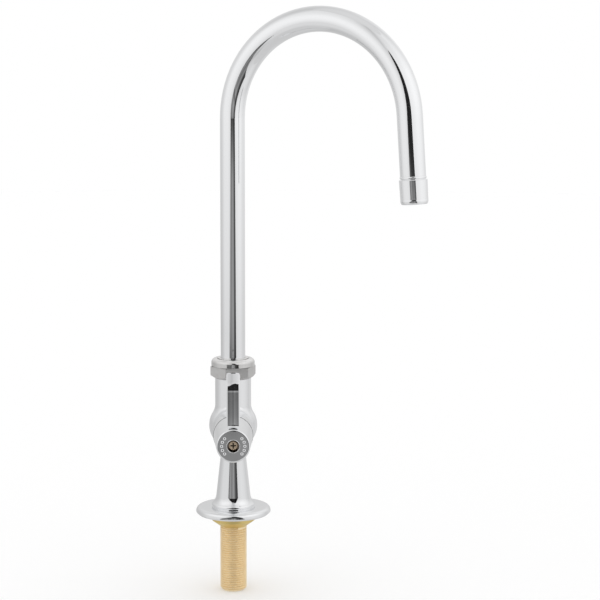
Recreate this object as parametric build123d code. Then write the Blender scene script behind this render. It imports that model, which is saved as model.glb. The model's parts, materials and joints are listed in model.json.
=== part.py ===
# Deck-mount gooseneck faucet with one lever and a swivel spout, in millimetres.
# The origin is on the shank's axis in the plane of the deck, under the flange. +Z is up.
# The valve's axis is level and points along -Y. The spout swivels about Z.
from build123d import *
import math
import os

os.makedirs("parts", exist_ok=True)

# Clearances between pieces
FIT = 0.02              # radial, pressed or brazed
RUN = 0.05              # radial and axial, pieces that turn in each other
SEAT = 0.10             # radial, parts that are only dropped in
THREAD_GAP = 0.05       # radial, between mating threads
OVER = 1.0              # how far a cutter passes the face it cuts

# Spout tube
TUBE_D = 19.05
TUBE_WALL = 1.25
BEND_R = 74.5           # to the tube's centre line
BEND_ANGLE = 175.9      # the outlet leg leans out a little
BEND_CENTRE_Z = 308.9
LEG_LENGTH = 64.7       # from the bend's end to the outlet's lower face
SPOUT_TURN = -30.5      # where the spout stands at rest, degrees about Z from +X

# Flange and pedestal
FLANGE_R = 29.2
FLANGE_T = 5.5
FLANGE_ROUND_SHARE = 0.6     # of its thickness
FLANGE_CHAMFER_SHARE = 0.29
RECESS_R = 24.5         # hollow in the flange's underside
RECESS_H = 2.0
FOOT_NECK_R = 16.5      # in the groove under the foot's bead
FOOT_GROOVE_H = 0.5
BEAD_START_R = 16.6     # the bead is 17 at its widest
FLARE_H = 8.9
FLARE_END_R = 15.8      # where the flare goes over into a straight slope
FLARE_END_H = 3.6
CONE_R = 13.35          # at the top of the flare
NECK_R = 9.0            # where the cone would meet the ball
NECK_FILLET = 6.0
VALVE_Z = 70.4

# Cartridge, radii about the valve's axis and lengths towards the user
DISC_R = 7.6
DISC_T = 3.0
STEM_R = 3.9
STEM_O_RING_R = 0.75    # section radius
SEAT_L = -2.0
SEAL_T = 1.2
DRIVER_T = 4.5
DRIVER_W = 5.6
WASHER_T = 1.0
HOUSING_WALL = 1.35
HOUSING_O_RING_R = 0.75
HOUSING_FLANGE_L = 30.0
HOUSING_FLANGE_T = 2.0
HOUSING_NECK = 14.0     # in front of its flange
GALLERY_DEPTH = 1.3
GALLERY_LENGTH = 13.0
PORT_R_IN = 2.0
PORT_R_OUT = 6.0
PORT_ANGLE = 80.0
KEY_W = 2.0             # keys and lugs that turn or hold the discs
KEY_IN = 0.9            # how far a key reaches into a disc's rim
LUG_L = 1.2             # how far the driver's lugs reach into the moving disc
WINDOW_W = 12.0
WINDOW_GAP = 0.3
SEAL_R_IN = 6.4
HOUSING_O_RING_L = 22.0
STEM_O_RINGS_UP = (6.0, 10.0)  # above the disc pocket
SPLINE_TEETH = 16
SPLINE_DEPTH = 0.45
SPLINE_GRIP = 16.0      # length of spline inside the hub
CLIP_T = 0.7
CLIP_R = 5.2
STOP_T = 1.0
STOP_R = 6.3
STOP_TAB_ANGLE = 30.0
STOP_TAB_TURN = 225.0   # where the tab stands at rest
STOP_SPARE = 1.0        # degrees between the tab and the lug at each end
STOP_LUG_R = 6.6
HANDLE_TRAVEL = 90.0
CLIP_OPENING = 70.0

# Bonnet nut and the body's boss
BONNET_WALL = 3.2
BONNET_CORNER = 0.35    # the hexagon's corners over the thread
BONNET_HOLE_R = 4.3
BOSS_WALL = 3.2
BONNET_GRIP = 8.0       # thread in front of the housing's flange
BOSS_BLEND = 3.0
BONNET_HEAD = 11.0
BONNET_WEB = 2.0
BALL_MARGIN = 3.55      # the ball's radius over the boss's

# Waterway in the body
INLET_R = 6.0
PASSAGE_R = 3.0
BACK_POCKET_R = 5.5
BACK_POCKET_L = 11.0
INLET_TOP = 50.0
OUTLET_BORE_R = 7.5
OUTLET_BORE_FOOT = 2.0  # above the valve's axis
PASSAGE_LOW = (1.0, 47.0)   # y and z where the passage leaves the inlet
PASSAGE_HIGH = (9.5, 66.0)  # and where it meets the pocket behind the seat
SEAT_RIM = 1.0

# Barrel and swivel
BARREL_RISE = 37.9      # from the valve's axis to the barrel's shoulder
BARREL_BLEND = 13.0
BARREL_THREAD_LENGTH = 9.0
BARREL_WALL = 2.1
BARREL_STEP = 0.6
SOCKET_DEPTH = 20.0
FERRULE_WALL = 1.7
FERRULE_LIP_T = 1.95
FERRULE_LIP = 1.65      # how far the lip stands out
FERRULE_LEDGE = 0.7
FERRULE_END_GAP = 1.0
SWIVEL_O_RINGS_UP = (3.0, 7.0)  # above the ferrule's foot
TUBE_GRIP = 9.5         # length of tube inside the ferrule, below its lip
SWIVEL_O_RING_R = 0.89
BEARING_T = 1.0

# Swivel nut
NUT_WALL = 2.0
NUT_TURN = 40.7         # where one of its corners stands, degrees right of the front
NUT_WRENCH_H = 8.6
NUT_CHAMFER = 1.8
NUT_CHAMFER_ANGLE = 58.0
NUT_COLLAR_R = 16.85
NUT_COLLAR_H = 3.0
NUT_DOME_H = 2.7
NUT_LIP_R = 12.2
NUT_LIP_H = 0.5
NUT_GROOVE = 0.55

# Shank
SHANK_LENGTH = 61.7     # below the deck plane
SHANK_THREAD_R = 10.45  # 1/2 inch straight pipe thread
THREAD_PITCH = 25.4 / 14
THREAD_DEPTH = 1.05
THREAD_FLAT = 0.26      # width at the root
THREAD_LAND = 0.40      # width at the crest
THREAD_OVER = 0.2
SHANK_BORE_R = 6.5
SHANK_SHOULDER_R = 17.0
SHANK_SHOULDER_H = 5.2
SHANK_CONE_H = 4.8
SHANK_TOP_R = 9.9
SHANK_END_CHAMFER = 2.1
SHANK_STUB_H = 13.0
SHANK_WASHER_T = 1.2
THREAD_RUN_OUT = 0.45   # from the last groove to the cone
THREAD_END_TURN = -70.0  # where the groove runs out, degrees from +X: just right of the front

# Lever handle
SKIRT_GAP = 0.5
SKIRT_R = 15.0
HUB_LENGTH = 37.0
HUB_FACE_R = 12.5
SKIRT_WALL = 1.6
SKIRT_DEPTH = 13.5
HUB_EDGE = 1.4
HUB_RING_W = 0.6
HUB_RING_H = 0.35
PIP_R = 1.15
PIP_H = 0.45
PIP_CIRCLE_R = 8.6
PIPS_PER_SIDE = 5
PIP_STEP = 21.0
LEVER_TIP = 51.8        # above the valve's axis
LEVER_STRAIGHT = 39.0
LEVER_BEND_R = 12.0
LEVER_TIP_TILT = 40.0
LEVER_CROWN_R = 50.0    # across the face
LEVER_FACE_SETBACK = 8.5
LEVER_T = 10.0
LEVER_W = 10.2
LEVER_BEVEL = 1.0
LEVER_ROOT = 4.0
LEVER_ROOT_ROUND = 1.4
LEVER_CORNER_R = 1.6

# Handle screw
SCREW_R = 2.15
SCREW_HEAD_R = 3.4
SCREW_HEAD_T = 2.3
SCREW_HEAD_ROOM = 1.1   # radial, round the head in its recess
SCREW_LENGTH = 12.5
SCREW_FLOOR = 2.7       # metal under the head
SCREW_EDGE = 0.75
TAP_SPARE = 1.0         # tapped hole below the screw's end
SCREW_SLOT_W = 1.1
SCREW_SLOT_L = 4.2
SCREW_SLOT_D = 1.7

# Outlet
COLLAR_R = 10.45
COLLAR_END_R = 9.35
COLLAR_LENGTH = 18.0
COLLAR_ROUND_H = 3.4
COLLAR_ROUND_R = 10.2
COLLAR_GROOVE_R = 9.2
COLLAR_GROOVE_H = 0.45
COLLAR_BEAD_R = 9.85
COLLAR_BEAD_H = 1.9
COLLAR_BEAD_CROWN = 0.4
COLLAR_SPIGOT_H = 7.0
COLLAR_CHAMFER = 0.4
OUTLET_WAY_R = 6.6
INSERT_WALL = 0.65
INSERT_DEPTH = 6.5
INSERT_WASHER_T = 1.0
SCREEN_T = 0.3
SCREEN_HOLE_R = 0.35
SCREEN_PITCH = 1.5
STRAIGHTENER_T = 2.8
STRAIGHTENER_HOLE_R = 1.0
STRAIGHTENER_PITCH = 2.9
RETAINER_T = 1.6
RETAINER_W = 1.4

# Worked out: cartridge
POCKET_R = DISC_R + RUN
HOUSING_R = POCKET_R + HOUSING_WALL
CHAMBER_BORE_R = HOUSING_R + SEAT
GALLERY_R = CHAMBER_BORE_R + GALLERY_DEPTH
STEM_BORE_R = STEM_R + RUN
NOSE_L = SEAT_L + SEAL_T
FIXED_DISC_TOP = NOSE_L + DISC_T
MOVING_DISC_L = FIXED_DISC_TOP + RUN
MOVING_DISC_TOP = MOVING_DISC_L + DISC_T
DRIVER_TOP = MOVING_DISC_TOP + DRIVER_T
THRUST_L = DRIVER_TOP + RUN
POCKET_TOP = THRUST_L + WASHER_T
HOUSING_NECK_R = HOUSING_R - 4 * SEAT
HOUSING_FRONT = HOUSING_FLANGE_L + HOUSING_FLANGE_T + HOUSING_NECK
SPLINE_R = STEM_R - RUN
STEM_GROOVES = [POCKET_TOP + up for up in STEM_O_RINGS_UP]
STEM_O_RING_MIDDLE = STEM_BORE_R - FIT - STEM_O_RING_R
CLIP_L = HOUSING_FRONT + STOP_T + RUN + SEAT
CLIP_FLOOR_R = SPLINE_R - 2 * SPLINE_DEPTH

# Worked out: bonnet, boss and ball
BOSS_LENGTH = HOUSING_FLANGE_L + HOUSING_FLANGE_T + BONNET_GRIP
BONNET_BORE_R = HOUSING_NECK_R + SEAT + RUN
BONNET_THREAD_R = BONNET_BORE_R + BONNET_WALL
BOSS_THREAD_R = BONNET_THREAD_R + THREAD_GAP
BOSS_R = BOSS_THREAD_R + BOSS_WALL
BALL_R = BOSS_R + BALL_MARGIN
HOUSING_FLANGE_R = BONNET_THREAD_R - SEAT - RUN
BONNET_FRONT = BOSS_LENGTH + BONNET_HEAD

# Worked out: swivel, from the tube outwards and from the valve's axis upwards
TUBE_R = TUBE_D / 2
TUBE_BORE_R = TUBE_R - TUBE_WALL
FERRULE_BORE_R = TUBE_R + FIT
FERRULE_R = FERRULE_BORE_R + FERRULE_WALL
SOCKET_R = FERRULE_R + RUN
BARREL_THREAD_R = SOCKET_R + BARREL_WALL
BARREL_R = BARREL_THREAD_R + BARREL_STEP
NUT_BORE_R = BARREL_THREAD_R + THREAD_GAP
NUT_FLAT_R = NUT_BORE_R + NUT_WALL
NUT_HOLE_R = TUBE_R + SEAT + RUN
SHOULDER_Z = VALVE_Z + BARREL_RISE
RIM_Z = SHOULDER_Z + BARREL_THREAD_LENGTH
SOCKET_Z = RIM_Z - SOCKET_DEPTH
LIP_Z = RIM_Z + BEARING_T + RUN
LIP_TOP = LIP_Z + FERRULE_LIP_T
NUT_SEAT_Z = LIP_TOP + RUN + BEARING_T
TUBE_FOOT_Z = LIP_Z - TUBE_GRIP
FERRULE_LIP_R = FERRULE_R + FERRULE_LIP
NUT_Z = SHOULDER_Z + 3 * SEAT
FERRULE_Z = SOCKET_Z + FERRULE_END_GAP
SWIVEL_O_RING_MIDDLE = SOCKET_R - FIT - SWIVEL_O_RING_R
SWIVEL_GROOVES = [FERRULE_Z + up for up in SWIVEL_O_RINGS_UP]

# Worked out: handle and screw, towards the user
SKIRT_L = BOSS_LENGTH + SKIRT_GAP
HUB_FACE_L = SKIRT_L + HUB_LENGTH
SPLINE_END = SKIRT_L + SKIRT_DEPTH + SPLINE_GRIP
HUB_TAPER = (SKIRT_R - HUB_FACE_R) / HUB_LENGTH
LEVER_FRONT = HUB_FACE_L - LEVER_FACE_SETBACK
SCREW_SEAT_L = SPLINE_END + SEAT + SCREW_FLOOR
SCREW_HOLE_R = SCREW_R + THREAD_GAP
HEAD_BORE_R = SCREW_HEAD_R + SCREW_HEAD_ROOM

# Worked out: shank and outlet
SHANK_BOTTOM = -SHANK_LENGTH
THREAD_TOP = -SHANK_SHOULDER_H - SHANK_CONE_H
INSERT_R = COLLAR_END_R - INSERT_WALL
WASHER_FACE = INSERT_DEPTH - INSERT_WASHER_T
SCREEN_FACE = WASHER_FACE - SCREEN_T
STRAIGHTENER_FACE = SCREEN_FACE - STRAIGHTENER_T
RETAINER_FACE = STRAIGHTENER_FACE - RETAINER_T
BEAD_FOOT = COLLAR_LENGTH + COLLAR_GROOVE_H
TUBE_END = BEAD_FOOT + COLLAR_BEAD_H

# Frames: the valve's axis towards the user, and the spout's outlet with its z up the tube
VALVE = Plane(origin=(0, 0, VALVE_Z), x_dir=(1, 0, 0), z_dir=(0, -1, 0)).location
BEND_LEAN = math.radians(180 - BEND_ANGLE)
BEND_END = (BEND_R + BEND_R * math.cos(BEND_LEAN), BEND_CENTRE_Z + BEND_R * math.sin(BEND_LEAN))
LEG_DIRECTION = (math.sin(BEND_LEAN), 0, -math.cos(BEND_LEAN))
OUTLET_POINT = (
    BEND_END[0] + LEG_LENGTH * LEG_DIRECTION[0],
    0,
    BEND_END[1] + LEG_LENGTH * LEG_DIRECTION[2],
)
SPOUT = Rotation(0, 0, SPOUT_TURN)
OUTLET = SPOUT * Plane(
    origin=OUTLET_POINT,
    x_dir=(0, 1, 0),
    z_dir=tuple(-value for value in LEG_DIRECTION),
).location


def turned(points):
    """A solid turned about Z from a closed outline of (radius, height) points."""
    outline = Polyline(*points, close=True)
    return revolve(make_face(Plane.XZ * outline), axis=Axis.Z)


def ring(outer, inner, low, high):
    """A plain ring or sleeve about Z."""
    return turned([(inner, low), (outer, low), (outer, high), (inner, high)])


def rod(radius, low, high):
    """A plain round bar about Z."""
    return turned([(0, low), (radius, low), (radius, high), (0, high)])


def o_ring(middle, section, height):
    """A rubber ring of round section about Z."""
    return Pos(0, 0, height) * Torus(middle, section)


def sector(inner, outer, low, high, start, angle):
    """A part of a ring, from start degrees over the angle given."""
    outline = Polyline((inner, low), (outer, low), (outer, high), (inner, high), close=True)
    piece = revolve(make_face(Plane.XZ * outline), axis=Axis.Z, revolution_arc=angle)
    return Rotation(0, 0, start) * piece


def star(outer, low, high):
    """A splined bar about Z."""
    points = []
    for index in range(2 * SPLINE_TEETH):
        radius = outer if index % 2 == 0 else outer - SPLINE_DEPTH
        angle = math.pi * index / SPLINE_TEETH
        points.append((radius * math.cos(angle), radius * math.sin(angle)))
    face = make_face(Polyline(*points, close=True))
    return Pos(0, 0, low) * extrude(face, amount=high - low)


def hexagon(flat_radius, low, high, turn):
    """A hexagonal bar about Z with one corner at the angle given."""
    corner = flat_radius / math.cos(math.pi / 6)
    angles = [math.radians(turn + 60 * index) for index in range(6)]
    points = [(corner * math.cos(angle), corner * math.sin(angle)) for angle in angles]
    face = make_face(Polyline(*points, close=True))
    return Pos(0, 0, low) * extrude(face, amount=high - low)


def hole_pattern(limit, hole_r, pitch, low, high):
    """Round holes in rows, on a triangular grid, that fit inside the limit radius."""
    rows = int(limit / (pitch * math.sin(math.pi / 3)))
    places = []
    for row in range(-rows, rows + 1):
        y = row * pitch * math.sin(math.pi / 3)
        shift = pitch / 2 if row % 2 else 0
        count = int(limit / pitch) + 1
        for column in range(-count, count + 1):
            x = column * pitch + shift
            if math.hypot(x, y) + hole_r < limit:
                places.append((x, y, low))
    hole = extrude(Circle(hole_r), amount=high - low)
    return [Pos(*place) * hole for place in places]


def body_outline():
    """Half section of the casting's outside, as a face in the XZ plane."""
    cone_z = FLANGE_T + FLARE_H
    neck_z = VALVE_Z - math.sqrt(BALL_R**2 - NECK_R**2)
    ball_top = VALVE_Z + math.sqrt(BALL_R**2 - BARREL_R**2)
    slope = (CONE_R - NECK_R) / (neck_z - cone_z)
    flare_end = (FLARE_END_R, FLANGE_T + FLARE_END_H)
    hollow = TangentArc((CONE_R, cone_z), flare_end, tangent=(slope, -1))
    fall = hollow % 1
    slope_drop = (BEAD_START_R - FLARE_END_R) * -fall.Y / fall.X
    bead_start = (BEAD_START_R, flare_end[1] - slope_drop)
    bead_end = (FOOT_NECK_R, FLANGE_T + FOOT_GROOVE_H)
    shoulder = Line(flare_end, bead_start)
    bead = TangentArc(bead_start, bead_end, tangent=fall)
    base = Polyline(
        (0, 0),
        (FLANGE_R, 0),
        (FLANGE_R, FLANGE_T),
        (FOOT_NECK_R, FLANGE_T),
        bead_end,
    )
    cone = Line((CONE_R, cone_z), (NECK_R, neck_z))
    ball = ThreePointArc((NECK_R, neck_z), (BALL_R, VALVE_Z), (BARREL_R, ball_top))
    barrel = Polyline(
        (BARREL_R, ball_top),
        (BARREL_R, SHOULDER_Z),
        (BARREL_THREAD_R, SHOULDER_Z),
        (BARREL_THREAD_R, RIM_Z),
        (0, RIM_Z),
        (0, 0),
    )
    foot = [base.edges(), bead.edge(), shoulder.edge(), hollow.edge()]
    face = make_face(foot + [cone.edge(), ball.edge(), barrel.edges()])

    def corner(radius, height):
        return face.vertices().sort_by_distance((radius, height, 0))[0]

    face = fillet(corner(FLANGE_R, FLANGE_T), FLANGE_ROUND_SHARE * FLANGE_T)
    face = fillet(corner(NECK_R, neck_z), NECK_FILLET)
    face = fillet(corner(BARREL_R, ball_top), BARREL_BLEND)
    face = chamfer(corner(FLANGE_R, 0), FLANGE_CHAMFER_SHARE * FLANGE_T)
    face = chamfer(corner(BARREL_R, SHOULDER_Z), BARREL_STEP / 2)
    return Plane.XZ * face


def body_casting():
    """Flange, pedestal, valve chamber, boss and barrel in one casting, with its waterway."""
    turned_part = revolve(body_outline(), axis=Axis.Z)
    boss = VALVE * rod(BOSS_R, 0, BOSS_LENGTH)
    solid = turned_part + boss
    joint_edges = new_edges(turned_part, boss, combined=solid)
    solid = fillet(joint_edges, BOSS_BLEND)
    stub_top = SHANK_STUB_H + SHANK_WASHER_T
    passage_low = Vector(0, *PASSAGE_LOW)
    passage_high = Vector(0, *PASSAGE_HIGH)
    passage_plane = Plane(origin=passage_low, z_dir=passage_high - passage_low)
    passage = passage_plane * extrude(Circle(PASSAGE_R), amount=(passage_high - passage_low).length)
    gallery_low = SEAT_L + SEAT_RIM
    chamber = turned([
        (0, SEAT_L),
        (CHAMBER_BORE_R, SEAT_L),
        (CHAMBER_BORE_R, gallery_low),
        (GALLERY_R, gallery_low),
        (GALLERY_R, gallery_low + GALLERY_LENGTH),
        (CHAMBER_BORE_R, gallery_low + GALLERY_LENGTH),
        (CHAMBER_BORE_R, HOUSING_FLANGE_L),
        (BOSS_THREAD_R, HOUSING_FLANGE_L),
        (BOSS_THREAD_R, BOSS_LENGTH + OVER),
        (0, BOSS_LENGTH + OVER),
    ])
    solid -= rod(RECESS_R, -OVER, RECESS_H)
    solid -= rod(SHANK_TOP_R + THREAD_GAP, 0, stub_top)
    solid -= rod(INLET_R, 0, INLET_TOP)
    solid -= passage
    solid -= VALVE * rod(BACK_POCKET_R, SEAT_L - BACK_POCKET_L, SEAT_L + OVER)
    solid -= VALVE * chamber
    solid -= rod(OUTLET_BORE_R, VALVE_Z + OUTLET_BORE_FOOT, SOCKET_Z + OVER)
    solid -= rod(SOCKET_R, SOCKET_Z, RIM_Z + OVER)
    return solid


def shank():
    """Brass shank: a stub that screws into the casting, a cone shoulder and a long thread."""
    shoulder = -SHANK_SHOULDER_H
    blank = turned([
        (0, SHANK_BOTTOM - 2 * THREAD_PITCH),
        (SHANK_THREAD_R, SHANK_BOTTOM - 2 * THREAD_PITCH),
        (SHANK_THREAD_R, THREAD_TOP),
        (SHANK_SHOULDER_R, shoulder),
        (SHANK_SHOULDER_R, RECESS_H),
        (SHANK_TOP_R, RECESS_H),
        (SHANK_TOP_R, SHANK_STUB_H),
        (0, SHANK_STUB_H),
    ])
    lead_in = SHANK_END_CHAMFER + THREAD_DEPTH
    finished = turned([
        (0, SHANK_BOTTOM),
        (SHANK_THREAD_R + THREAD_DEPTH - lead_in, SHANK_BOTTOM),
        (SHANK_THREAD_R + THREAD_DEPTH, SHANK_BOTTOM + lead_in),
        (SHANK_THREAD_R + THREAD_DEPTH, THREAD_TOP),
        (SHANK_SHOULDER_R + THREAD_DEPTH, shoulder),
        (SHANK_SHOULDER_R + THREAD_DEPTH, SHANK_STUB_H),
        (0, SHANK_STUB_H),
    ])
    start = SHANK_BOTTOM - THREAD_PITCH
    climb = THREAD_TOP - THREAD_RUN_OUT - start
    path = Pos(0, 0, start) * Helix(THREAD_PITCH, climb, SHANK_THREAD_R - THREAD_DEPTH / 2)
    mouth = (THREAD_PITCH - THREAD_LAND) / 2
    slope = (mouth - THREAD_FLAT / 2) / THREAD_DEPTH
    groove = Polygon(
        (THREAD_DEPTH / 2 + THREAD_OVER, mouth + THREAD_OVER * slope),
        (-THREAD_DEPTH / 2, THREAD_FLAT / 2),
        (-THREAD_DEPTH / 2, -THREAD_FLAT / 2),
        (THREAD_DEPTH / 2 + THREAD_OVER, -mouth - THREAD_OVER * slope),
        align=None,
    )
    cutter = sweep(Pos(*(path @ 0)) * (Plane.XZ * groove), path=path, is_frenet=True)
    start_turn = THREAD_END_TURN - 360 * climb / THREAD_PITCH
    solid = blank - Rotation(0, 0, start_turn) * cutter
    solid -= rod(SHANK_BORE_R, SHANK_BOTTOM - 3 * THREAD_PITCH, SHANK_STUB_H + OVER)
    return solid & finished


def shank_washer():
    """Fibre washer between the shank's top and the casting."""
    inner = SHANK_BORE_R + 3 * SEAT
    return ring(SHANK_TOP_R - SEAT, inner, SHANK_STUB_H, SHANK_STUB_H + SHANK_WASHER_T)


def ported_disc(low, port_start):
    """A ceramic disc with two opposite ports."""
    disc = rod(DISC_R, low, low + DISC_T)
    for side in (0, 180):
        start = port_start + side - PORT_ANGLE / 2
        high = low + DISC_T + OVER
        disc -= sector(PORT_R_IN, PORT_R_OUT, low - OVER, high, start, PORT_ANGLE)
    return disc


def disc_notches(width, depth, low, high, turn):
    """Two opposite notches in a disc's rim."""
    reach = 2 * (DISC_R + OVER)
    bar = Pos(0, 0, (low + high) / 2) * Box(reach, width, high - low)
    return Rotation(0, 0, turn) * (bar - rod(DISC_R - depth, low - OVER, high + OVER))


def fixed_ceramic_disc():
    """Lower disc, held from turning by the housing's keys."""
    disc = ported_disc(NOSE_L, 90)
    width = KEY_W + 2 * RUN
    disc -= disc_notches(width, KEY_IN + RUN, NOSE_L - OVER, FIXED_DISC_TOP + OVER, 0)
    return VALVE * disc


def moving_ceramic_disc():
    """Upper disc, turned by the stem; its ports are shut off at rest."""
    disc = ported_disc(MOVING_DISC_L, 0)
    slot_floor = MOVING_DISC_TOP - LUG_L - RUN
    width = KEY_W + 2 * RUN
    disc -= disc_notches(width, KEY_IN + RUN, slot_floor, MOVING_DISC_TOP + OVER, 90)
    return VALVE * disc


def cartridge_housing():
    """Brass shell of the cartridge: disc pocket, water windows, stem bore and stop lug."""
    flange_top = HOUSING_FLANGE_L + HOUSING_FLANGE_T
    groove_floor = CHAMBER_BORE_R - FIT - 2 * HOUSING_O_RING_R - FIT
    groove_half = HOUSING_O_RING_R + SEAT
    groove_low = HOUSING_O_RING_L - groove_half
    groove_high = HOUSING_O_RING_L + groove_half
    shell = turned([
        (POCKET_R, NOSE_L),
        (HOUSING_R, NOSE_L),
        (HOUSING_R, groove_low),
        (groove_floor, groove_low),
        (groove_floor, groove_high),
        (HOUSING_R, groove_high),
        (HOUSING_R, HOUSING_FLANGE_L),
        (HOUSING_FLANGE_R, HOUSING_FLANGE_L),
        (HOUSING_FLANGE_R, flange_top),
        (HOUSING_NECK_R, flange_top),
        (HOUSING_NECK_R, HOUSING_FRONT),
        (STEM_BORE_R, HOUSING_FRONT),
        (STEM_BORE_R, POCKET_TOP),
        (POCKET_R, POCKET_TOP),
    ])
    window_low = MOVING_DISC_TOP + WINDOW_GAP
    window_high = DRIVER_TOP + WINDOW_GAP
    window = Box(WINDOW_W, 4 * HOUSING_R, window_high - window_low)
    shell -= Pos(0, 0, (window_low + window_high) / 2) * window
    keys = disc_notches(KEY_W, KEY_IN, NOSE_L, FIXED_DISC_TOP, 0)
    shell += keys & rod(POCKET_R + FIT, NOSE_L, FIXED_DISC_TOP)
    lug_start = STOP_TAB_TURN + HANDLE_TRAVEL + STOP_TAB_ANGLE / 2 + STOP_SPARE
    lug_angle = 360 - HANDLE_TRAVEL - STOP_TAB_ANGLE - 2 * STOP_SPARE
    lug_low = HOUSING_FRONT - OVER
    lug_high = HOUSING_FRONT + STOP_T
    shell += sector(STOP_LUG_R, HOUSING_NECK_R, lug_low, lug_high, lug_start, lug_angle)
    return VALVE * shell


def cartridge_seat_seal():
    """Rubber ring between the cartridge's nose and the seat in the casting."""
    return VALVE * ring(HOUSING_R - SEAT, SEAL_R_IN, SEAT_L, NOSE_L)


def cartridge_o_ring():
    """Seals the cartridge in the chamber."""
    middle = CHAMBER_BORE_R - FIT - HOUSING_O_RING_R
    return VALVE * o_ring(middle, HOUSING_O_RING_R, HOUSING_O_RING_L)


def cartridge_stem():
    """Driver bar with two lugs, sealed shaft, splined end, and a tapped hole for the screw."""
    bar_blank = rod(DISC_R - SEAT, MOVING_DISC_TOP, DRIVER_TOP)
    bar_middle = (MOVING_DISC_TOP + DRIVER_TOP) / 2
    bar = bar_blank & (Pos(0, 0, bar_middle) * Box(DRIVER_W, 2 * DISC_R, DRIVER_T))
    lug_low = MOVING_DISC_TOP - LUG_L
    lugs = disc_notches(KEY_W, KEY_IN, lug_low, MOVING_DISC_TOP + OVER, 90)
    lugs = lugs & rod(DISC_R - SEAT, lug_low, MOVING_DISC_TOP + OVER)
    shaft = rod(STEM_R, DRIVER_TOP - OVER, HOUSING_FRONT)
    groove_floor = STEM_O_RING_MIDDLE - STEM_O_RING_R - FIT
    groove_half = STEM_O_RING_R + SEAT
    for height in STEM_GROOVES:
        low = height - groove_half
        high = height + groove_half
        shaft -= ring(STEM_R + OVER, groove_floor, low, high)
    spline = star(SPLINE_R, HOUSING_FRONT - OVER, SPLINE_END)
    spline -= ring(STEM_R + OVER, CLIP_FLOOR_R, CLIP_L - RUN, CLIP_L + CLIP_T + RUN)
    stem = bar + lugs + shaft + spline
    tapped_low = SCREW_SEAT_L - SCREW_LENGTH - TAP_SPARE
    stem -= rod(SCREW_HOLE_R, tapped_low, SPLINE_END + OVER)
    return VALVE * stem


def stem_o_rings():
    """Two rubber rings on the stem, as separate solids."""
    rings = [o_ring(STEM_O_RING_MIDDLE, STEM_O_RING_R, height) for height in STEM_GROOVES]
    return VALVE * Compound(children=rings)


def stem_thrust_washer():
    """Plastic washer between the driver bar and the housing."""
    return VALVE * ring(DISC_R - SEAT, STEM_R + RUN, THRUST_L, POCKET_TOP)


def stem_stop_washer():
    """Splined washer whose tab meets the housing's lug at each end of the quarter turn."""
    low = HOUSING_FRONT + RUN
    high = HOUSING_FRONT + STOP_T + RUN
    tab_r = HOUSING_NECK_R - SEAT
    tab_start = STOP_TAB_TURN - STOP_TAB_ANGLE / 2
    washer = rod(STOP_R, low, high)
    washer += sector(STOP_R - OVER, tab_r, low, high, tab_start, STOP_TAB_ANGLE)
    washer -= star(SPLINE_R + FIT, low - OVER, high + OVER)
    return VALVE * washer


def stem_clip():
    """Open spring clip in the stem's groove, in front of the stop washer."""
    angle = 360 - CLIP_OPENING
    return VALVE * sector(CLIP_FLOOR_R + FIT, CLIP_R, CLIP_L, CLIP_L + CLIP_T, 90, angle)


def bonnet_nut():
    """Hexagonal nut that clamps the cartridge in the boss, hidden by the handle's skirt."""
    corner_r = BONNET_THREAD_R + BONNET_CORNER
    flat_r = corner_r * math.cos(math.pi / 6)
    low = HOUSING_FLANGE_L + HOUSING_FLANGE_T
    nut = rod(BONNET_THREAD_R, low, BOSS_LENGTH)
    nut += hexagon(flat_r, BOSS_LENGTH, BONNET_FRONT, 0)
    nut -= rod(BONNET_BORE_R, low - OVER, BONNET_FRONT - BONNET_WEB)
    nut -= rod(BONNET_HOLE_R, low, BONNET_FRONT + OVER)
    return VALVE * nut


def lever_blade():
    """The lever in the valve's frame: crowned and bevelled face, tip bent back."""
    tilt = math.radians(LEVER_TIP_TILT)
    crown_axis = LEVER_FRONT - LEVER_CROWN_R

    def bend_point(angle):
        return (
            LEVER_STRAIGHT + LEVER_BEND_R * math.sin(angle),
            LEVER_FRONT - LEVER_BEND_R * (1 - math.cos(angle)),
        )

    bend_end = bend_point(tilt)
    top = LEVER_TIP + OVER
    slope_end = (top, bend_end[1] - (top - bend_end[0]) * math.tan(tilt))
    straight = Line((LEVER_ROOT, LEVER_FRONT), (LEVER_STRAIGHT, LEVER_FRONT))
    bend = ThreePointArc((LEVER_STRAIGHT, LEVER_FRONT), bend_point(tilt / 2), bend_end)
    rest = Polyline(
        bend_end,
        slope_end,
        (top, crown_axis),
        (LEVER_ROOT, crown_axis),
        (LEVER_ROOT, LEVER_FRONT),
    )
    side = Plane.YZ * make_face([straight.edge(), bend.edge(), rest.edges()])
    crowned = revolve(side, axis=Axis((0, 0, crown_axis), (0, 1, 0)))
    back = LEVER_FRONT - LEVER_T
    middle = ((LEVER_ROOT + LEVER_TIP) / 2, (back + LEVER_FRONT + OVER) / 2)
    slab = Pos(0, *middle) * Box(LEVER_W, LEVER_TIP - LEVER_ROOT, LEVER_T + OVER)
    blade = crowned & slab
    edges = [
        edge for edge in blade.edges()
        if abs(edge.center().X) > LEVER_W / 2 - FIT
        and edge.center().Z > back + LEVER_T / 4
        and edge.center().Y > LEVER_ROOT + FIT
    ]
    blade = chamfer(edges, LEVER_BEVEL)
    outline = Pos(0, LEVER_TIP / 2) * RectangleRounded(LEVER_W, LEVER_TIP, LEVER_CORNER_R)
    return blade & extrude(outline, amount=LEVER_FRONT + OVER)


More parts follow.
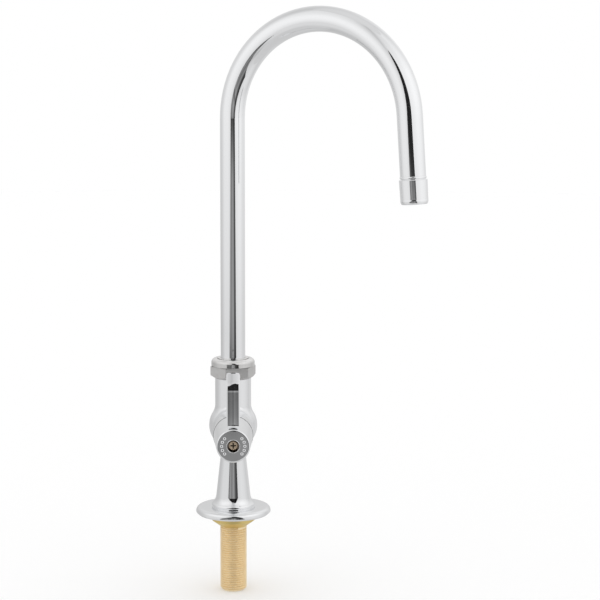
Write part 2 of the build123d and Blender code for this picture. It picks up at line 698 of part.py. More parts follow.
def hub_face_pips():
    """Small domed studs in two arcs on the hub's face."""
    dome_r = (PIP_R**2 + PIP_H**2) / (2 * PIP_H)
    dome = Pos(0, 0, HUB_FACE_L + PIP_H - dome_r) * Sphere(dome_r)
    pip = dome & rod(PIP_R, HUB_FACE_L - OVER, HUB_FACE_L + OVER)
    pips = []
    for side in (0, 180):
        for index in range(PIPS_PER_SIDE):
            angle = side + (index - (PIPS_PER_SIDE - 1) / 2) * PIP_STEP
            pips.append(Rotation(0, 0, angle) * (Pos(PIP_CIRCLE_R, 0, 0) * pip))
    return pips


def lever_handle():
    """Conical hub with a hollow skirt, and the lever, in one casting."""
    hub = turned([
        (0, SKIRT_L),
        (SKIRT_R, SKIRT_L),
        (HUB_FACE_R, HUB_FACE_L),
        (0, HUB_FACE_L),
    ])
    hub = fillet(hub.edges().sort_by(Axis.Z)[-1], HUB_EDGE)
    hub += lever_blade()
    root = [
        edge for edge in hub.edges()
        if abs(edge.center().X) < FIT
        and 0 < edge.center().Y < LEVER_STRAIGHT / 2
        and abs(edge.center().Z - LEVER_FRONT) < OVER
    ]
    hub = fillet(root, LEVER_ROOT_ROUND)
    ring_middle = HEAD_BORE_R + HUB_RING_W / 2
    crown = ThreePointArc(
        (HEAD_BORE_R, HUB_FACE_L),
        (ring_middle, HUB_FACE_L + HUB_RING_H),
        (HEAD_BORE_R + HUB_RING_W, HUB_FACE_L),
    )
    ring_base = Polyline(
        (HEAD_BORE_R + HUB_RING_W, HUB_FACE_L),
        (HEAD_BORE_R + HUB_RING_W, HUB_FACE_L - OVER),
        (HEAD_BORE_R, HUB_FACE_L - OVER),
        (HEAD_BORE_R, HUB_FACE_L),
    )
    hub += revolve(make_face(Plane.XZ * (crown + ring_base)), axis=Axis.Z)
    for pip in hub_face_pips():
        hub += pip
    inner = SKIRT_R - SKIRT_WALL
    hub -= turned([
        (0, SKIRT_L - OVER),
        (inner + HUB_TAPER * OVER, SKIRT_L - OVER),
        (inner - HUB_TAPER * SKIRT_DEPTH, SKIRT_L + SKIRT_DEPTH),
        (0, SKIRT_L + SKIRT_DEPTH),
    ])
    hub -= star(SPLINE_R + FIT, SKIRT_L + SKIRT_DEPTH - OVER, SPLINE_END + SEAT)
    hub -= rod(SCREW_HOLE_R, SPLINE_END - OVER, HUB_FACE_L + OVER)
    hub -= rod(HEAD_BORE_R, SCREW_SEAT_L, HUB_FACE_L + OVER)
    return VALVE * hub


def handle_screw():
    """Domed cross-head screw that holds the handle on the stem."""
    head_top = SCREW_SEAT_L + SCREW_HEAD_T
    head = rod(SCREW_HEAD_R, SCREW_SEAT_L, head_top)
    head = fillet(head.edges().sort_by(Axis.Z)[-1], SCREW_EDGE)
    slot_h = SCREW_SLOT_D + OVER
    slot_middle = head_top - SCREW_SLOT_D + slot_h / 2
    screw = head + rod(SCREW_R, SCREW_SEAT_L - SCREW_LENGTH, SCREW_SEAT_L)
    screw -= Pos(0, 0, slot_middle) * Box(SCREW_SLOT_W, SCREW_SLOT_L, slot_h)
    screw -= Pos(0, 0, slot_middle) * Box(SCREW_SLOT_L, SCREW_SLOT_W, slot_h)
    return VALVE * screw


def swivel_nut():
    """Hexagon below, round collar above, domed top with a lip round the tube."""
    chamfer_r = NUT_CHAMFER * math.tan(math.radians(NUT_CHAMFER_ANGLE))
    corner_r = NUT_FLAT_R / math.cos(math.pi / 6)
    wrench_top = NUT_Z + NUT_WRENCH_H
    collar_low = wrench_top + NUT_GROOVE
    collar_top = collar_low + NUT_COLLAR_H
    dome_top = collar_top + NUT_DOME_H
    wrench = hexagon(NUT_FLAT_R, NUT_Z, wrench_top, NUT_TURN - 90)
    wrench = wrench & turned([
        (0, NUT_Z),
        (corner_r - chamfer_r, NUT_Z),
        (corner_r, NUT_Z + NUT_CHAMFER),
        (corner_r, wrench_top),
        (0, wrench_top),
    ])
    shoulder_r = NUT_LIP_R + NUT_GROOVE
    middle_angle = math.pi / 4
    dome_middle = (
        shoulder_r + (NUT_COLLAR_R - shoulder_r) * math.cos(middle_angle),
        collar_top + NUT_DOME_H * math.sin(middle_angle),
    )
    lower = Polyline(
        (0, wrench_top - NUT_CHAMFER),
        (NUT_FLAT_R, wrench_top - NUT_CHAMFER),
        (NUT_FLAT_R, collar_low),
        (NUT_COLLAR_R, collar_low),
        (NUT_COLLAR_R, collar_top),
    )
    dome = ThreePointArc((NUT_COLLAR_R, collar_top), dome_middle, (shoulder_r, dome_top))
    upper = Polyline(
        (shoulder_r, dome_top),
        (shoulder_r, dome_top - NUT_GROOVE),
        (NUT_LIP_R, dome_top - NUT_GROOVE),
        (NUT_LIP_R, dome_top + NUT_LIP_H),
        (0, dome_top + NUT_LIP_H),
        (0, wrench_top - NUT_CHAMFER),
    )
    collar = revolve(make_face(Plane.XZ * (lower + dome + upper)), axis=Axis.Z)
    nut = wrench + collar
    nut -= rod(NUT_BORE_R, NUT_Z - OVER, NUT_SEAT_Z)
    nut -= rod(NUT_HOLE_R, NUT_Z, dome_top + NUT_LIP_H + OVER)
    return nut


def swivel_lower_washer():
    """Plastic bearing ring on the barrel's rim."""
    return ring(BARREL_THREAD_R - 2 * SEAT, SOCKET_R, RIM_Z, RIM_Z + BEARING_T)


def swivel_upper_washer():
    """Plastic bearing ring between the ferrule's lip and the nut."""
    return ring(FERRULE_LIP_R, NUT_HOLE_R, LIP_TOP + RUN, NUT_SEAT_Z)


def swivel_ferrule():
    """Brass end piece on the tube: it turns in the barrel and is held by its lip."""
    groove_floor = SWIVEL_O_RING_MIDDLE - SWIVEL_O_RING_R - FIT
    groove_half = SWIVEL_O_RING_R + SEAT
    inner = TUBE_BORE_R - FERRULE_LEDGE
    ferrule = turned([
        (inner, FERRULE_Z),
        (FERRULE_R, FERRULE_Z),
        (FERRULE_R, LIP_Z),
        (FERRULE_LIP_R, LIP_Z),
        (FERRULE_LIP_R, LIP_TOP),
        (FERRULE_BORE_R, LIP_TOP),
        (FERRULE_BORE_R, TUBE_FOOT_Z),
        (inner, TUBE_FOOT_Z),
    ])
    for height in SWIVEL_GROOVES:
        low = height - groove_half
        high = height + groove_half
        ferrule -= ring(FERRULE_R + OVER, groove_floor, low, high)
    return SPOUT * ferrule


def swivel_o_rings():
    """Two rubber rings on the ferrule, as separate solids."""
    rings = [o_ring(SWIVEL_O_RING_MIDDLE, SWIVEL_O_RING_R, height) for height in SWIVEL_GROOVES]
    return SPOUT * Compound(children=rings)


def gooseneck_tube():
    """Bent spout tube: post, round bend and short outlet leg."""
    section = Circle(TUBE_R) - Circle(TUBE_BORE_R)
    post = Pos(0, 0, TUBE_FOOT_Z) * extrude(section, amount=BEND_CENTRE_Z - TUBE_FOOT_Z)
    bend_axis = Axis((BEND_R, 0, BEND_CENTRE_Z), (0, 1, 0))
    bend = revolve(Pos(0, 0, BEND_CENTRE_Z) * section, axis=bend_axis, revolution_arc=BEND_ANGLE)
    leg_start = Plane(origin=(BEND_END[0], 0, BEND_END[1]), x_dir=(0, 1, 0), z_dir=LEG_DIRECTION)
    leg = extrude(leg_start * section, amount=LEG_LENGTH - TUBE_END)
    return SPOUT * (post + bend + leg)


def outlet_collar():
    """Stream outlet: spigot in the tube, bead, fine groove, and a sleeve with a rounded end."""
    spigot_r = TUBE_BORE_R - FIT
    round_middle = (
        COLLAR_END_R + (COLLAR_ROUND_R - COLLAR_END_R) * math.cos(math.pi / 4),
        COLLAR_ROUND_H * (1 - math.sin(math.pi / 4)),
    )
    end_round = ThreePointArc((COLLAR_END_R, 0), round_middle, (COLLAR_ROUND_R, COLLAR_ROUND_H))
    bead_edge = COLLAR_BEAD_R - COLLAR_BEAD_CROWN
    sleeve = Polyline(
        (COLLAR_ROUND_R, COLLAR_ROUND_H),
        (COLLAR_R, COLLAR_LENGTH - COLLAR_CHAMFER),
        (COLLAR_R - COLLAR_CHAMFER, COLLAR_LENGTH),
        (COLLAR_GROOVE_R, COLLAR_LENGTH),
        (COLLAR_GROOVE_R, BEAD_FOOT),
        (bead_edge, BEAD_FOOT),
    )
    bead_middle = (COLLAR_BEAD_R, (BEAD_FOOT + TUBE_END) / 2)
    bead = ThreePointArc((bead_edge, BEAD_FOOT), bead_middle, (bead_edge, TUBE_END))
    inside = Polyline(
        (bead_edge, TUBE_END),
        (spigot_r, TUBE_END),
        (spigot_r, TUBE_END + COLLAR_SPIGOT_H),
        (OUTLET_WAY_R, TUBE_END + COLLAR_SPIGOT_H),
        (OUTLET_WAY_R, INSERT_DEPTH),
        (INSERT_R, INSERT_DEPTH),
        (INSERT_R, 0),
        (COLLAR_END_R, 0),
    )
    outline = end_round + sleeve + bead + inside
    return OUTLET * revolve(make_face(Plane.XZ * outline), axis=Axis.Z)


def outlet_washer():
    """Rubber washer above the outlet's insert."""
    return OUTLET * ring(INSERT_R - RUN, OUTLET_WAY_R, WASHER_FACE, INSERT_DEPTH)


def outlet_screen():
    """Thin steel disc with a field of fine holes."""
    disc = rod(INSERT_R - RUN, SCREEN_FACE, WASHER_FACE)
    holes = hole_pattern(
        OUTLET_WAY_R,
        SCREEN_HOLE_R,
        SCREEN_PITCH,
        SCREEN_FACE - OVER,
        WASHER_FACE + OVER,
    )
    return OUTLET * (disc - holes)


def flow_straightener():
    """Plastic disc with a pattern of straight holes."""
    disc = rod(INSERT_R - RUN, STRAIGHTENER_FACE, SCREEN_FACE)
    holes = hole_pattern(
        OUTLET_WAY_R,
        STRAIGHTENER_HOLE_R,
        STRAIGHTENER_PITCH,
        STRAIGHTENER_FACE - OVER,
        SCREEN_FACE + OVER,
    )
    return OUTLET * (disc - holes)


def outlet_retaining_ring():
    """Brass ring pressed in under the insert."""
    return OUTLET * ring(INSERT_R - FIT, INSERT_R - RETAINER_W, RETAINER_FACE, STRAIGHTENER_FACE)


PIECES = (
    body_casting,
    shank,
    shank_washer,
    cartridge_housing,
    cartridge_seat_seal,
    cartridge_o_ring,
    fixed_ceramic_disc,
    moving_ceramic_disc,
    cartridge_stem,
    stem_o_rings,
    stem_thrust_washer,
    stem_stop_washer,
    stem_clip,
    bonnet_nut,
    lever_handle,
    handle_screw,
    swivel_nut,
    swivel_lower_washer,
    swivel_upper_washer,
    swivel_ferrule,
    swivel_o_rings,
    gooseneck_tube,
    outlet_collar,
    outlet_washer,
    outlet_screen,
    flow_straightener,
    outlet_retaining_ring,
)

for piece in PIECES:
    solid = piece()
    export_step(solid, f"parts/{piece.__name__}.step")
    print(piece.__name__, len(solid.solids()), round(solid.volume, 1), solid.is_valid)
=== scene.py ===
import json
import math

import bpy
from mathutils import Matrix, Vector


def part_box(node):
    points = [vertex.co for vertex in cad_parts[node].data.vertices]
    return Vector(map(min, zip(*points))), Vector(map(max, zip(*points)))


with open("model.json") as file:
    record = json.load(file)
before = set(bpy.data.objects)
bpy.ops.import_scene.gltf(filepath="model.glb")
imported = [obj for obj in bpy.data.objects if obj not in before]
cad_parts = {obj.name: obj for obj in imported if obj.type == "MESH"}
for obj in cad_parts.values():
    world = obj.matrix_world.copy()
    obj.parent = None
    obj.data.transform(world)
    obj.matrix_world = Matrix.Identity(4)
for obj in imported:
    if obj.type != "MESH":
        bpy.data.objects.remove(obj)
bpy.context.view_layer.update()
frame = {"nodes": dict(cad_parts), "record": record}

# Camera, fitted to the photograph
IMAGE_SIDE = 600                # px
FOCAL_PX = 1789.5
SENSOR = 36.0                   # mm
CAMERA_PLACE = (0.0, -1.372, 0.3618)
PITCH = math.radians(8.01)      # looking down
YAW = math.radians(2.17)        # towards +X
ROLL = math.radians(-0.15)

# Studio: a white tent round the part, open in front onto a dark room
FLOOR_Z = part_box("shank")[0].z
FLOOR_RADIUS = 4.0
FLOOR_SIDES = 96
TENT_RADIUS = 0.60
TENT_LOW = -0.5
TENT_HIGH = 1.6
TENT_COLUMNS = 120
TENT_SEAM = 0.042               # x where the closed wall joins in front
OPENING_HEM = 0.01
ROOM_DISTANCE = 2.9
ROOM_HALF = 3.2
ROOM_LOW = -2.6
ROOM_HIGH = 4.5
# Outline of the tent's opening: height, then x of the left and right edges
OPENING = (
    (-0.15, -0.40, 0.345), (-0.02, -0.34, 0.31), (0.14, -0.257, 0.266), (0.30, -0.158, 0.222),
    (0.42, -0.09, 0.19), (0.50, -0.058, 0.165), (0.66, -0.026, 0.116), (0.80, 0.042, 0.042),
)

# Where a finish changes on the part, in metres along Z for the nut and the shank, Y for the screw
NUT_FLATS_TOP = 0.1174
NUT_COLLAR_LOW = 0.1180
NUT_DOME_LOW = 0.1212
NUT_DOME_HIGH = 0.1228
SCREW_CROSS = -0.0739
SCREW_FACE = -0.0744
SHANK_THREAD_TOP = -0.0104
SHANK_CONE_LOW = -0.0099
# The recess round the handle's screw, where painted shade darkens the chrome
VALVE_Z = 0.0704
RECESS_R = 0.0046
RECESS_LIP = -0.0772            # y of its outer edge

# Colours of the bare metals, with the slightly darker one that each varies to
CHROME = (0.88, 0.885, 0.895)
CHROME_CLOUDED = (0.85, 0.855, 0.865)
# Painted shade, darkening the chrome down in the recess round the handle's screw
RECESS_PAINTED_SHADE = (0.42, 0.36, 0.31)       # multiplies the chrome
NICKEL = (0.70, 0.695, 0.69)
NICKEL_DARK = (0.67, 0.66, 0.65)
RAW_BRASS = (1.0, 0.83, 0.55)
RAW_BRASS_DARK = (0.97, 0.79, 0.50)
CONE_BRASS = (0.78, 0.74, 0.45)         # multiplies the raw brass
TURNED_BRASS = (0.80, 0.62, 0.32)
TURNED_BRASS_DARK = (0.76, 0.56, 0.27)
BRONZE = (0.74, 0.61, 0.46)
BRONZE_DARK = (0.66, 0.52, 0.37)
STEEL = (0.62, 0.62, 0.61)

# Noise lies mostly between these levels
NOISE_LOW = 0.3
NOISE_HIGH = 0.7


def make_camera():
    """The photograph's camera, its axes worked out from pitch, yaw and roll."""
    forward = Vector((
        math.sin(YAW) * math.cos(PITCH),
        math.cos(YAW) * math.cos(PITCH),
        -math.sin(PITCH),
    ))
    level = Vector((math.cos(YAW), -math.sin(YAW), 0.0))
    down = forward.cross(level)
    right = level * math.cos(ROLL) + down * math.sin(ROLL)
    up = level * math.sin(ROLL) - down * math.cos(ROLL)
    data = bpy.data.cameras.new("camera")
    data.sensor_width = SENSOR
    data.lens = FOCAL_PX / IMAGE_SIDE * SENSOR
    camera = bpy.data.objects.new("camera", data)
    axes = Matrix((right, up, -forward)).transposed().to_4x4()
    camera.matrix_world = Matrix.Translation(CAMERA_PLACE) @ axes
    bpy.context.scene.collection.objects.link(camera)
    bpy.context.scene.camera = camera


def add_mesh(name, vertices, faces):
    """A mesh object in the scene."""
    mesh = bpy.data.meshes.new(name)
    mesh.from_pydata(vertices, [], faces)
    piece = bpy.data.objects.new(name, mesh)
    bpy.context.scene.collection.objects.link(piece)
    return piece


class Graph:
    """A node tree with short calls for the few nodes that the materials share."""

    def __init__(self, tree):
        self.nodes = tree.nodes
        self.links = tree.links

    def add(self, kind, **settings):
        node = self.nodes.new(kind)
        for key, value in settings.items():
            setattr(node, key, value)
        return node

    def join(self, source, target):
        self.links.new(source, target)

    def math(self, operation, first, second=0.0):
        node = self.add("ShaderNodeMath", operation=operation)
        for socket, value in zip(node.inputs, (first, second)):
            if isinstance(value, (int, float)):
                socket.default_value = value
            else:
                self.join(value, socket)
        return node.outputs[0]

    def ramp(self, source, low, high, stops):
        """Source from low to high picks from stops of (place, level), a level being grey or a colour."""
        span = self.add("ShaderNodeMapRange")
        span.inputs["From Min"].default_value = low
        span.inputs["From Max"].default_value = high
        self.join(source, span.inputs["Value"])
        node = self.add("ShaderNodeValToRGB")
        elements = node.color_ramp.elements
        while len(elements) < len(stops):
            elements.new(0.5)
        for element, (place, level) in zip(elements, stops):
            element.position = (place - low) / (high - low)
            color = (level,) * 3 if isinstance(level, float) else level
            element.color = (*color, 1.0)
        self.join(span.outputs["Result"], node.inputs["Fac"])
        return node.outputs["Color"]

    def product(self, first, second):
        node = self.add("ShaderNodeMix", data_type="RGBA", blend_type="MULTIPLY")
        node.inputs["Factor"].default_value = 1.0
        self.join(first, node.inputs["A"])
        self.join(second, node.inputs["B"])
        return node.outputs["Result"]


def glow_material(name, paint):
    """A card of the studio that only gives light of its own."""
    material = bpy.data.materials.new(name)
    material.use_nodes = True
    graph = Graph(material.node_tree)
    graph.nodes.clear()
    place = graph.add("ShaderNodeTexCoord").outputs["Object"]
    split = graph.add("ShaderNodeSeparateXYZ")
    graph.join(place, split.inputs[0])
    glow = graph.add("ShaderNodeEmission")
    graph.join(paint(graph, split.outputs), glow.inputs["Color"])
    output = graph.add("ShaderNodeOutputMaterial")
    graph.join(glow.outputs[0], output.inputs["Surface"])
    return material


def studio_card(piece, material):
    """Puts a card in the studio, seen by reflections alone."""
    piece.data.materials.append(material)
    piece.visible_camera = False
    piece.visible_diffuse = False
    piece.visible_transmission = False
    piece.visible_shadow = False


def make_tent():
    """The tent's wall, from the right edge of its opening round the back to the left edge."""
    hem = (OPENING[0][0] - OPENING_HEM, TENT_SEAM, TENT_SEAM)
    bottom = (TENT_LOW, TENT_SEAM, TENT_SEAM)
    top = (TENT_HIGH, TENT_SEAM, TENT_SEAM)
    rows = (bottom, hem, *OPENING, top)
    vertices = []
    for height, left, right in rows:
        start = math.asin(right / TENT_RADIUS)
        end = 2 * math.pi + math.asin(left / TENT_RADIUS)
        for index in range(TENT_COLUMNS + 1):
            angle = start + (end - start) * index / TENT_COLUMNS
            vertices.append((TENT_RADIUS * math.sin(angle), -TENT_RADIUS * math.cos(angle), height))
    above = TENT_COLUMNS + 1
    corners = [
        row * above + column
        for row in range(len(rows) - 1)
        for column in range(TENT_COLUMNS)
    ]
    faces = [(i, i + 1, i + 1 + above, i + above) for i in corners]
    return add_mesh("studio_tent", vertices, faces)


def tent_paint(graph, axes):
    """Brightest at the sides above the part's middle, softer below, above, in front and behind."""
    height = graph.ramp(axes["Z"], TENT_LOW, TENT_HIGH, (
        (-0.5, 0.74), (-0.2, 0.79), (-0.05, 0.80), (0.05, 0.79), (0.12, 0.86), (0.2, 0.90),
        (0.3, 0.96), (0.45, 1.02), (0.65, 1.02), (0.8, 0.96), (0.95, 0.92), (1.2, 0.87), (1.6, 0.86),
    ))
    forward = graph.math("MULTIPLY", axes["Y"], -1.0)
    angle = graph.math("DEGREES", graph.math("ARCTAN2", axes["X"], forward))
    side = graph.ramp(angle, -180.0, 180.0, (
        (-180.0, 0.79), (-130.0, 0.72), (-112.0, 0.76), (-95.0, 0.87), (-80.0, 0.96), (-45.0, 0.97),
        (-30.0, 0.92), (-20.0, 0.83), (-12.0, 0.76), (-4.0, 0.65), (2.0, 0.78), (8.0, 0.82),
        (13.0, 0.90), (30.0, 0.94), (60.0, 1.04), (80.0, 1.01), (100.0, 0.92), (116.0, 0.83),
        (140.0, 0.90), (160.0, 0.83), (180.0, 0.79),
    ))
    return graph.product(height, side)


def room_paint(graph, axes):
    """The dark room: grey below with a darker band, nearly black above and at its sides."""
    height = graph.ramp(axes["Z"], ROOM_LOW, ROOM_HIGH, (
        (-2.6, 0.3), (-0.8, 0.38), (-0.6, 0.50), (-0.53, 0.50), (-0.51, 0.31), (-0.44, 0.20),
        (-0.36, 0.42), (-0.28, 0.50), (-0.12, 0.48), (0.06, 0.44), (0.12, 0.29), (0.2, 0.09),
        (0.3, 0.03), (4.5, 0.02),
    ))
    across = graph.ramp(axes["X"], -ROOM_HALF, ROOM_HALF, (
        (-3.2, 0.3), (-1.6, 0.4), (-1.35, 0.6), (-1.0, 0.75), (-0.8, 0.5), (-0.4, 0.5),
        (-0.2, 0.7), (-0.1, 0.7), (0.0, 0.47), (0.12, 0.9), (0.25, 0.7), (0.38, 0.65),
        (0.48, 0.28), (0.75, 0.28), (0.95, 0.12), (1.4, 0.15), (3.2, 0.15),
    ))
    return graph.product(height, across)


def make_studio():
    """Floor, tent and dark room."""
    studio_card(make_tent(), glow_material("studio_tent", tent_paint))
    room = add_mesh("studio_room", [
        (-ROOM_HALF, -ROOM_DISTANCE, ROOM_LOW),
        (ROOM_HALF, -ROOM_DISTANCE, ROOM_LOW),
        (ROOM_HALF, -ROOM_DISTANCE, ROOM_HIGH),
        (-ROOM_HALF, -ROOM_DISTANCE, ROOM_HIGH),
    ], [(0, 1, 2, 3)])
    studio_card(room, glow_material("studio_room", room_paint))
    make_floor()
    make_world()


def make_floor():
    """A plain white floor that keeps the part's soft shadow."""
    turn = 2 * math.pi / FLOOR_SIDES
    vertices = [
        (FLOOR_RADIUS * math.cos(turn * i), FLOOR_RADIUS * math.sin(turn * i), FLOOR_Z)
        for i in range(FLOOR_SIDES)
    ]
    floor = add_mesh("floor", vertices, [tuple(range(FLOOR_SIDES))])
    material = bpy.data.materials.new("floor")
    material.use_nodes = True
    shader = material.node_tree.nodes["Principled BSDF"]
    shader.inputs["Base Color"].default_value = (1, 1, 1, 1)
    shader.inputs["Roughness"].default_value = 1.0
    shader.inputs["Specular IOR Level"].default_value = 0.0
    floor.data.materials.append(material)
    floor.visible_glossy = False


def make_world():
    """White all round; reflections see a soft grey below the tent and above it."""
    world = bpy.data.worlds.new("studio_world")
    bpy.context.scene.world = world
    world.use_nodes = True
    graph = Graph(world.node_tree)
    split = graph.add("ShaderNodeSeparateXYZ")
    graph.join(graph.add("ShaderNodeTexCoord").outputs["Generated"], split.inputs[0])
    height = graph.ramp(split.outputs["Z"], -1.0, 1.0, (
        (-1.0, 0.64), (-0.6, 0.70), (0.6, 0.75), (0.85, 0.70), (1.0, 0.76),
    ))
    path = graph.add("ShaderNodeLightPath")
    mirrored = graph.math("ADD", path.outputs["Is Glossy Ray"], path.outputs["Is Transmission Ray"])
    mix = graph.add("ShaderNodeMix", data_type="RGBA")
    mix.inputs["A"].default_value = (1, 1, 1, 1)
    graph.join(mirrored, mix.inputs["Factor"])
    graph.join(height, mix.inputs["B"])
    background = graph.nodes["Background"]
    graph.join(mix.outputs["Result"], background.inputs["Color"])


class Finish(Graph):
    """A material of the part: its shader's plain values, then noise that varies them."""

    def __init__(self, name, color, metallic, roughness):
        self.material = bpy.data.materials.new(name)
        self.material.use_nodes = True
        super().__init__(self.material.node_tree)
        self.shader = self.nodes["Principled BSDF"]
        self.shader.inputs["Base Color"].default_value = (*color, 1)
        self.shader.inputs["Metallic"].default_value = metallic
        self.shader.inputs["Roughness"].default_value = roughness
        self.place = self.add("ShaderNodeTexCoord").outputs["Object"]

    def noise(self, scale, detail=2.0, vector=None):
        node = self.add("ShaderNodeTexNoise")
        node.inputs["Scale"].default_value = scale
        node.inputs["Detail"].default_value = detail
        self.join(vector or self.place, node.inputs["Vector"])
        return node.outputs["Fac"]

    def spread(self, source, low, high):
        """Stretches noise to the range from low to high."""
        span = self.add("ShaderNodeMapRange")
        span.inputs["From Min"].default_value = NOISE_LOW
        span.inputs["From Max"].default_value = NOISE_HIGH
        span.inputs["To Min"].default_value = low
        span.inputs["To Max"].default_value = high
        self.join(source, span.inputs["Value"])
        return span.outputs["Result"]

    def vary_roughness(self, source, low, high):
        self.join(self.spread(source, low, high), self.shader.inputs["Roughness"])

    def vary_color(self, source, first, second):
        mix = self.add("ShaderNodeMix", data_type="RGBA")
        mix.inputs["A"].default_value = (*first, 1)
        mix.inputs["B"].default_value = (*second, 1)
        self.join(self.spread(source, 0.0, 1.0), mix.inputs["Factor"])
        self.join(mix.outputs["Result"], self.shader.inputs["Base Color"])

    def bump(self, source, height):
        """Relief of the given height, in metres."""
        node = self.add("ShaderNodeBump")
        node.inputs["Distance"].default_value = height
        self.join(source, node.inputs["Height"])
        previous = self.shader.inputs["Normal"].links
        if previous:
            self.join(previous[0].from_socket, node.inputs["Normal"])
        self.join(node.outputs["Normal"], self.shader.inputs["Normal"])

    def shade(self, source, low, high, stops):
        """Multiplies the varied base colour by a ramp."""
        target = self.shader.inputs["Base Color"]
        varied = target.links[0].from_socket
        self.join(self.product(varied, self.ramp(source, low, high, stops)), target)

    def axes(self):
        """The object's own X, Y and Z."""
        split = self.add("ShaderNodeSeparateXYZ")
        self.join(self.place, split.inputs[0])
        return split.outputs

    def turned_place(self):
        """Coordinates that are the same all the way round the Z axis: radius and height."""
        x, y, z = self.axes()
        squared = self.math("ADD", self.math("MULTIPLY", x, x), self.math("MULTIPLY", y, y))
        combine = self.add("ShaderNodeCombineXYZ")
        self.join(self.math("SQRT", squared), combine.inputs["X"])
        self.join(z, combine.inputs["Z"])
        return combine.outputs["Vector"]


def chrome(name, waviness):
    """Bright plate: nearly a mirror, with the polisher's faint waves and cloudy patches."""
    finish = Finish(name, CHROME, 1.0, 0.05)
    finish.vary_roughness(finish.noise(180.0, 4.0), 0.035, 0.07)
    finish.bump(finish.noise(45.0, 1.0), waviness)
    return finish


def handle_chrome(name):
    """The same plate, with painted shade darkening it down in the recess round the handle's screw."""
    finish = chrome(name, 4e-6)
    finish.vary_color(finish.noise(110.0, 3.0), CHROME, CHROME_CLOUDED)
    # Painted shade: the chrome is darkened within RECESS_R of the valve axis, deeper than the recess lip
    x, y, z = finish.axes()
    up = finish.math("SUBTRACT", z, VALVE_Z)
    radius = finish.math("SQRT", finish.math(
        "ADD", finish.math("MULTIPLY", x, x), finish.math("MULTIPLY", up, up),
    ))
    outside = finish.math("GREATER_THAN", radius, RECESS_R)
    deep = finish.math("GREATER_THAN", y, RECESS_LIP)
    painted_shade_mask = finish.math("MULTIPLY", deep, finish.math("SUBTRACT", 1.0, outside))
    finish.shade(painted_shade_mask, 0.0, 1.0, ((0.0, 1.0), (1.0, RECESS_PAINTED_SHADE)))
    return finish


def satin_nickel(name):
    """Duller plate: rough on the wrench flats, smoother on the collar, with a painted highlight
    lightening its dome.
    """
    finish = Finish(name, NICKEL, 1.0, 0.2)
    finish.vary_color(finish.noise(300.0, 4.0), NICKEL, NICKEL_DARK)
    height = finish.axes()["Z"]
    # Painted highlight: the dome's colour lightens towards its top; the flats are a little darker than
    # the collar
    finish.shade(height, NUT_FLATS_TOP, NUT_DOME_HIGH, (
        (NUT_FLATS_TOP, 0.92), (NUT_COLLAR_LOW, 1.0), (NUT_DOME_LOW, 1.0), (NUT_DOME_HIGH, 1.25),
    ))
    level = finish.ramp(height, NUT_FLATS_TOP, NUT_COLLAR_LOW, (
        (NUT_FLATS_TOP, 0.5), (NUT_COLLAR_LOW, 0.10),
    ))
    patches = finish.ramp(finish.noise(240.0, 5.0), 0.0, 1.0, ((0.3, 0.8), (0.7, 1.2)))
    finish.join(finish.product(level, patches), finish.shader.inputs["Roughness"])
    finish.bump(finish.noise(5200.0, 2.0, finish.turned_place()), 1e-6)
    finish.bump(finish.noise(260.0, 1.0), 1.2e-5)
    return finish


def brass(name, color, tarnished, metallic, roughness, marks):
    """Machined brass: fine marks round the axis, and a faint uneven tarnish."""
    finish = Finish(name, color, metallic, roughness)
    finish.vary_color(finish.noise(110.0, 4.0), color, tarnished)
    finish.vary_roughness(finish.noise(420.0, 4.0), roughness - 0.06, roughness + 0.06)
    finish.bump(finish.noise(3800.0, 2.0, finish.turned_place()), marks)
    return finish


def shank_brass(name):
    """Raw brass, pale on the cut thread and yellower on the cone above it."""
    finish = brass(name, RAW_BRASS, RAW_BRASS_DARK, 0.74, 0.39, 1e-6)
    finish.shade(finish.axes()["Z"], SHANK_THREAD_TOP, SHANK_CONE_LOW, (
        (SHANK_THREAD_TOP, 1.0), (SHANK_CONE_LOW, CONE_BRASS),
    ))
    return finish


def dull_bronze(name):
    """The handle's screw: tan-brown, with painted shade darkening its cross recess."""
    finish = Finish(name, BRONZE, 0.7, 0.38)
    finish.vary_color(finish.noise(900.0, 4.0), BRONZE, BRONZE_DARK)
    finish.vary_roughness(finish.noise(1400.0, 3.0), 0.3, 0.46)
    # Painted shade: darker with depth from the head's face down into the cross recess
    finish.shade(finish.axes()["Y"], SCREW_FACE, SCREW_CROSS, (
        (SCREW_FACE, 1.0), (SCREW_CROSS, 0.08),
    ))
    return finish


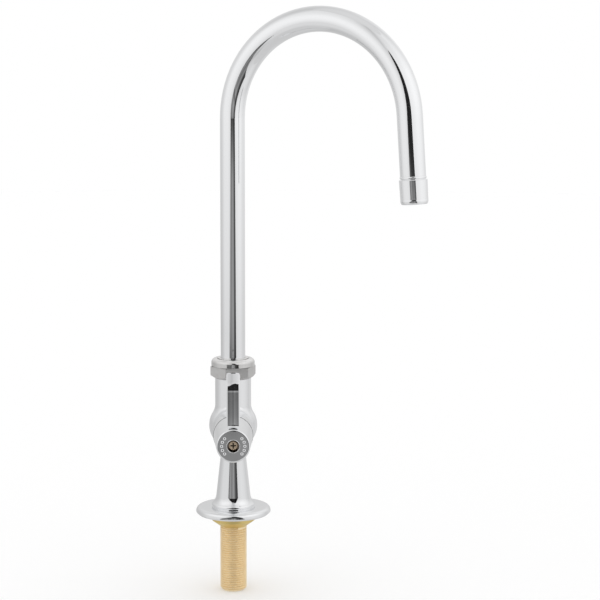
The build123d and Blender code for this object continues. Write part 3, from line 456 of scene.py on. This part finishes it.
def stainless(name):
    """Fine pressed steel."""
    finish = Finish(name, STEEL, 1.0, 0.25)
    finish.vary_roughness(finish.noise(900.0, 3.0), 0.18, 0.34)
    finish.bump(finish.noise(2400.0, 2.0), 1e-6)
    return finish


def plain(name, color, other, roughness, grain, relief):
    """Rubber, plastic, ceramic and fibre: a matt or glossy body with a fine grain."""
    finish = Finish(name, color, 0.0, roughness)
    finish.vary_color(finish.noise(grain / 6, 3.0), color, other)
    finish.vary_roughness(finish.noise(grain, 3.0), roughness * 0.85, roughness * 1.15)
    finish.bump(finish.noise(grain, 4.0), relief)
    return finish


def make_finishes():
    """One finish for each material slot of the record."""
    return {
        "body_chrome": chrome("body_chrome_finish", 6e-6),
        "spout_chrome": chrome("spout_chrome_finish", 2e-6),
        "handle_chrome": handle_chrome("handle_chrome_finish"),
        "nut_nickel": satin_nickel("nut_nickel_finish"),
        "raw_brass": shank_brass("raw_brass_finish"),
        "screw_bronze": dull_bronze("screw_bronze_finish"),
        "turned_brass": brass(
            "turned_brass_finish", TURNED_BRASS, TURNED_BRASS_DARK, 1.0, 0.22, 3e-6,
        ),
        "seal_rubber": plain(
            "seal_rubber_finish", (0.03, 0.03, 0.03), (0.045, 0.045, 0.045), 0.6, 2500.0, 6e-6,
        ),
        "ceramic": plain(
            "ceramic_finish", (0.86, 0.85, 0.81), (0.82, 0.81, 0.77), 0.15, 1500.0, 1e-6,
        ),
        "white_plastic": plain(
            "white_plastic_finish", (0.82, 0.82, 0.79), (0.76, 0.76, 0.72), 0.4, 1800.0, 4e-6,
        ),
        "fibre": plain(
            "fibre_finish", (0.30, 0.10, 0.07), (0.38, 0.15, 0.10), 0.75, 3000.0, 2e-5,
        ),
        "stainless": stainless("stainless_finish"),
    }


def dress_nodes():
    """Gives every CAD node the finish of its material slot."""
    finishes = make_finishes()
    for part in frame["record"]["subparts"]:
        node = frame["nodes"][part["node"]]
        for slot in node.material_slots:
            slot.material = finishes[part["material_slot"]].material


bpy.context.scene.view_settings.view_transform = "Standard"
make_camera()
make_studio()
dress_nodes()
